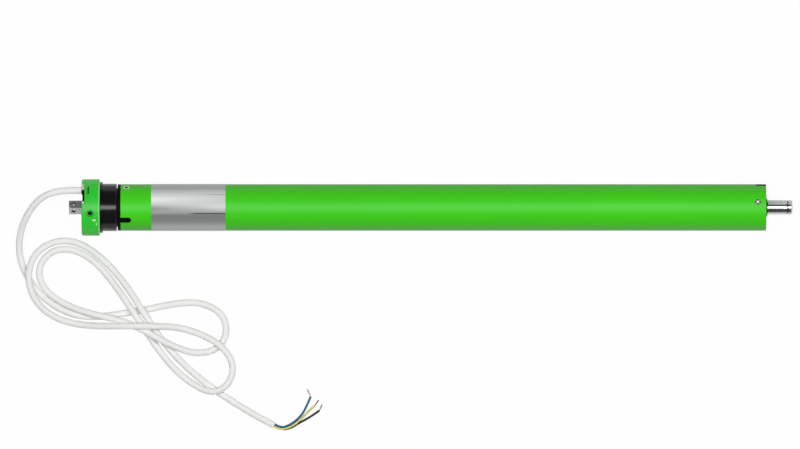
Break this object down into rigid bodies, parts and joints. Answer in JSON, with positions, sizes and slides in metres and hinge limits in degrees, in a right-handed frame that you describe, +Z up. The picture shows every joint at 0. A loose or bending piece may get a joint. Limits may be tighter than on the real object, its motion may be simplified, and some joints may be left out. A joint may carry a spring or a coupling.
{
  "type": "tubular roller blind motor",
  "caption": "Green 45 mm tubular roller blind motor, 700 mm long, with drive ring, square drive pin, geared output shaft and a bare-ended supply cable.",
  "frame": {"origin": "centre of the bounding box's footprint, at table height", "axes": "+X along the tube from the head to the output shaft, +Y across it away from the cable's coil, +Z up"},
  "size_m": [0.752, 0.2442, 0.0546],
  "materials": {
    "green_enamel": "gloss",
    "green_plastic": "gloss",
    "zinc_steel": "zinc plated",
    "screw_zinc": "zinc plated",
    "dark_screw": "blackened",
    "black_plastic": "moulded, semi-gloss",
    "black_ring": "moulded, gloss",
    "pale_clip": "matte",
    "white_sheath": "soft satin",
    "blue_core": "gloss",
    "green_yellow_core": "gloss, striped",
    "brown_core": "gloss",
    "silver_foil": "satin foil",
    "white_acetal": "satin",
    "blue_acetal": "satin",
    "red_acetal": "satin",
    "switch_black": "matte",
    "board_green": "solder mask",
    "capacitor_can": "gloss",
    "cradle_grey": "matte",
    "wire_blue": "gloss",
    "cast_shield": "cast",
    "sintered_bush": "sintered",
    "lamination": "stacked sheets",
    "enamel_copper": "enamelled wire",
    "turned_steel": "turned",
    "cast_cage": "cast",
    "brake_shell": "matte",
    "brake_steel": "ground",
    "magnet_iron": "black oxide",
    "spring_steel": "blued",
    "ring_gear_nylon": "satin",
    "planet_sinter": "sintered"
  },
  "bodies": {
    "motor": {"head_casing": "green_plastic", "head_face_plate": "zinc_steel", "square_drive_pin": "zinc_steel", "face_plate_screws": "screw_zinc", "cable_connector": "black_plastic", "connector_clip": "pale_clip", "connector_screw": "screw_zinc", "limit_unit_housing": "black_plastic", "limit_unit_screws": "screw_zinc", "cam_axle": "turned_steel", "limit_switches": "switch_black", "terminal_board": "board_green", "capacitor": "capacitor_can", "capacitor_cradle": "cradle_grey", "inner_wires": "wire_blue", "motor_tube": "green_enamel", "rating_label": "silver_foil", "motor_rear_shield": "cast_shield", "motor_front_shield": "cast_shield", "motor_bearings": "sintered_bush", "stator_core": "lamination", "stator_windings": "enamel_copper", "brake_housing": "brake_shell", "brake_spring": "spring_steel", "brake_magnet": "magnet_iron", "ring_gear_1": "ring_gear_nylon", "ring_gear_2": "ring_gear_nylon", "ring_gear_3": "ring_gear_nylon", "output_bearing_housing": "black_plastic", "output_bushes": "black_plastic", "output_screws": "screw_zinc", "supply_cable": "white_sheath", "core_blue": "blue_core", "core_green_yellow": "green_yellow_core", "core_brown": "brown_core"},
    "crown": {"crown_ring": "black_ring"},
    "counter": {"counter_shaft": "white_acetal"},
    "upper_cam": {"upper_limit_cam": "blue_acetal"},
    "lower_cam": {"lower_limit_cam": "red_acetal"},
    "screw_up": {"limit_screw_up": "dark_screw"},
    "screw_down": {"limit_screw_down": "dark_screw"},
    "upper_button": {"upper_switch_button": "red_acetal"},
    "lower_button": {"lower_switch_button": "blue_acetal"},
    "rotor": {"rotor_core": "cast_cage", "rotor_shaft": "turned_steel", "brake_disc": "brake_steel"},
    "armature": {"brake_armature": "brake_steel"},
    "carrier_one": {"carrier_1": "turned_steel"},
    "carrier_two": {"carrier_2": "turned_steel"},
    "output": {"output_carrier": "turned_steel", "output_shaft": "zinc_steel"},
    "planet_1_a_wheel": {"planet_1_a": "planet_sinter"},
    "planet_1_b_wheel": {"planet_1_b": "planet_sinter"},
    "planet_1_c_wheel": {"planet_1_c": "planet_sinter"},
    "planet_2_a_wheel": {"planet_2_a": "planet_sinter"},
    "planet_2_b_wheel": {"planet_2_b": "planet_sinter"},
    "planet_2_c_wheel": {"planet_2_c": "planet_sinter"},
    "planet_3_a_wheel": {"planet_3_a": "planet_sinter"},
    "planet_3_b_wheel": {"planet_3_b": "planet_sinter"},
    "planet_3_c_wheel": {"planet_3_c": "planet_sinter"}
  },
  "joints": [
    {"name": "rotor_spin", "type": "hinge", "parent": "motor", "child": "rotor", "pos_m": [0.0032, 0, 0.0273], "axis": [1, 0, 0], "continuous": true},
    {"name": "carrier_1_turn", "type": "hinge", "parent": "motor", "child": "carrier_one", "pos_m": [0.1785, 0, 0.0273], "axis": [1, 0, 0], "continuous": true},
    {"name": "carrier_2_turn", "type": "hinge", "parent": "motor", "child": "carrier_two", "pos_m": [0.2045, 0, 0.0273], "axis": [1, 0, 0], "continuous": true},
    {"name": "output_turn", "type": "hinge", "parent": "motor", "child": "output", "pos_m": [0.2825, 0, 0.0273], "axis": [1, 0, 0], "continuous": true},
    {"name": "planet_1_a_spin", "type": "hinge", "parent": "carrier_one", "child": "planet_1_a_wheel", "pos_m": [0.1686, 0.01073, 0.0273], "axis": [1, 0, 0], "continuous": true},
    {"name": "planet_1_b_spin", "type": "hinge", "parent": "carrier_one", "child": "planet_1_b_wheel", "pos_m": [0.1686, -0.00536, 0.03659], "axis": [1, 0, 0], "continuous": true},
    {"name": "planet_1_c_spin", "type": "hinge", "parent": "carrier_one", "child": "planet_1_c_wheel", "pos_m": [0.1686, -0.00536, 0.01801], "axis": [1, 0, 0], "continuous": true},
    {"name": "planet_2_a_spin", "type": "hinge", "parent": "carrier_two", "child": "planet_2_a_wheel", "pos_m": [0.1946, 0.01073, 0.0273], "axis": [1, 0, 0], "continuous": true},
    {"name": "planet_2_b_spin", "type": "hinge", "parent": "carrier_two", "child": "planet_2_b_wheel", "pos_m": [0.1946, -0.00536, 0.03659], "axis": [1, 0, 0], "continuous": true},
    {"name": "planet_2_c_spin", "type": "hinge", "parent": "carrier_two", "child": "planet_2_c_wheel", "pos_m": [0.1946, -0.00536, 0.01801], "axis": [1, 0, 0], "continuous": true},
    {"name": "planet_3_a_spin", "type": "hinge", "parent": "output", "child": "planet_3_a_wheel", "pos_m": [0.2206, 0.01073, 0.0273], "axis": [1, 0, 0], "continuous": true},
    {"name": "planet_3_b_spin", "type": "hinge", "parent": "output", "child": "planet_3_b_wheel", "pos_m": [0.2206, -0.00536, 0.03659], "axis": [1, 0, 0], "continuous": true},
    {"name": "planet_3_c_spin", "type": "hinge", "parent": "output", "child": "planet_3_c_wheel", "pos_m": [0.2206, -0.00536, 0.01801], "axis": [1, 0, 0], "continuous": true},
    {"name": "crown_turn", "type": "hinge", "parent": "motor", "child": "crown", "pos_m": [-0.3118, 0, 0.0273], "axis": [1, 0, 0], "continuous": true},
    {"name": "counter_turn", "type": "hinge", "parent": "motor", "child": "counter", "pos_m": [-0.2945, 0, 0.04192], "axis": [1, 0, 0], "continuous": true},
    {"name": "upper_cam_turn", "type": "hinge", "parent": "motor", "child": "upper_cam", "pos_m": [-0.2775, 0, 0.0273], "axis": [1, 0, 0], "continuous": true},
    {"name": "lower_cam_turn", "type": "hinge", "parent": "motor", "child": "lower_cam", "pos_m": [-0.2655, 0, 0.0273], "axis": [1, 0, 0], "continuous": true},
    {"name": "limit_screw_up_turn", "type": "hinge", "parent": "motor", "child": "screw_up", "pos_m": [-0.3291, -0.00432, 0.04764], "axis": [0, -0.2079, 0.9781], "continuous": true},
    {"name": "limit_screw_down_turn", "type": "hinge", "parent": "motor", "child": "screw_down", "pos_m": [-0.3291, 0.00432, 0.00696], "axis": [0, 0.2079, -0.9781], "continuous": true},
    {"name": "upper_button_press", "type": "slide", "parent": "motor", "child": "upper_button", "axis": [0, 0, -1], "range_m": [0, 0.0005], "stiffness_N_per_m": 150},
    {"name": "lower_button_press", "type": "slide", "parent": "motor", "child": "lower_button", "axis": [0, 0, -1], "range_m": [0, 0.0005], "stiffness_N_per_m": 150},
    {"name": "brake_release", "type": "slide", "parent": "motor", "child": "armature", "axis": [1, 0, 0], "range_m": [0, 0.0008], "stiffness_N_per_m": 800, "deforming": ["brake_spring"]}
  ],
  "couplings": [
    {"joint": "carrier_1_turn", "follows": "rotor_spin", "ratio": 0.18182},
    {"joint": "carrier_2_turn", "follows": "rotor_spin", "ratio": 0.033058},
    {"joint": "output_turn", "follows": "rotor_spin", "ratio": 0.0060105},
    {"joint": "planet_1_a_spin", "follows": "rotor_spin", "ratio": -0.46753},
    {"joint": "planet_1_b_spin", "follows": "rotor_spin", "ratio": -0.46753},
    {"joint": "planet_1_c_spin", "follows": "rotor_spin", "ratio": -0.46753},
    {"joint": "planet_2_a_spin", "follows": "rotor_spin", "ratio": -0.085006},
    {"joint": "planet_2_b_spin", "follows": "rotor_spin", "ratio": -0.085006},
    {"joint": "planet_2_c_spin", "follows": "rotor_spin", "ratio": -0.085006},
    {"joint": "planet_3_a_spin", "follows": "rotor_spin", "ratio": -0.015456},
    {"joint": "planet_3_b_spin", "follows": "rotor_spin", "ratio": -0.015456},
    {"joint": "planet_3_c_spin", "follows": "rotor_spin", "ratio": -0.015456},
    {"joint": "counter_turn", "follows": "crown_turn", "ratio": 4},
    {"joint": "upper_cam_turn", "follows": "crown_turn", "ratio": -1.4545},
    {"joint": "lower_cam_turn", "follows": "crown_turn", "ratio": -1.4545}
  ]
}
